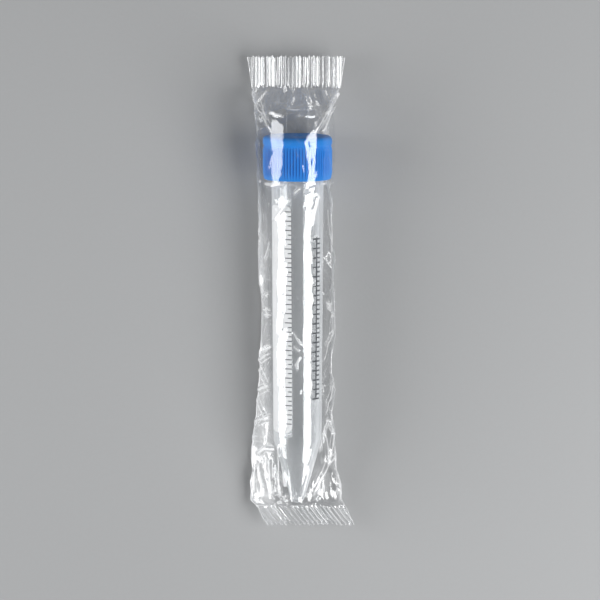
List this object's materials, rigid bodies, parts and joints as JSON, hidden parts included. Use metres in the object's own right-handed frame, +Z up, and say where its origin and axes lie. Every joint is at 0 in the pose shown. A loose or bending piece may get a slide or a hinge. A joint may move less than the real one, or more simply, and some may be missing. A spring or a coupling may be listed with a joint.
{
  "type": "wrapped screw-cap conical test tube",
  "caption": "Clear plastic conical-bottom test tube with a finely ribbed blue screw cap, sealed in a clear crimped film wrapper, lying flat.",
  "frame": {"origin": "on the supporting surface, under the middle of the wrapper", "axes": "+Y along the wrapper from the tube's tip towards its cap, +Z up; the tube's own axis climbs 2.2 degrees towards +Y because the cap is wider than the barrel"},
  "size_m": [0.036, 0.1536, 0.0247],
  "materials": {
    "film": "clear creased film",
    "crimped_film": "welded ribbed film",
    "clear_tube": "clear moulded plastic",
    "blue_cap": "satin moulded plastic",
    "liner": "soft foam",
    "white_ink": "printed, matt",
    "dark_ink": "printed, matt"
  },
  "bodies": {
    "wrapper": {"film_sleeve": "film", "head_crimp_seal": "crimped_film", "foot_crimp_seal": "crimped_film", "back_fin_seal": "crimped_film"},
    "tube": {"tube_body": "clear_tube", "writing_strip": "white_ink", "graduation_ticks": "dark_ink"},
    "liner": {"cap_liner": "liner"},
    "cap": {"screw_cap": "blue_cap"}
  },
  "joints": [
    {"name": "tube_shift", "type": "slide", "parent": "wrapper", "child": "tube", "axis": [0, 0.9993, 0.0387], "range_m": [0, 0.003]},
    {"name": "cap_lift", "type": "slide", "parent": "tube", "child": "liner", "axis": [0, 0.9993, 0.0387], "range_m": [0, 0.0046]},
    {"name": "cap_turn", "type": "hinge", "parent": "liner", "child": "cap", "pos_m": [0, -0.06885, 0.00795], "axis": [0, 0.9993, 0.0387], "range_deg": [0, 540]}
  ],
  "couplings": [
    {"joint": "cap_lift", "follows": "cap_turn", "m_per_rad": 0.00047746}
  ]
}
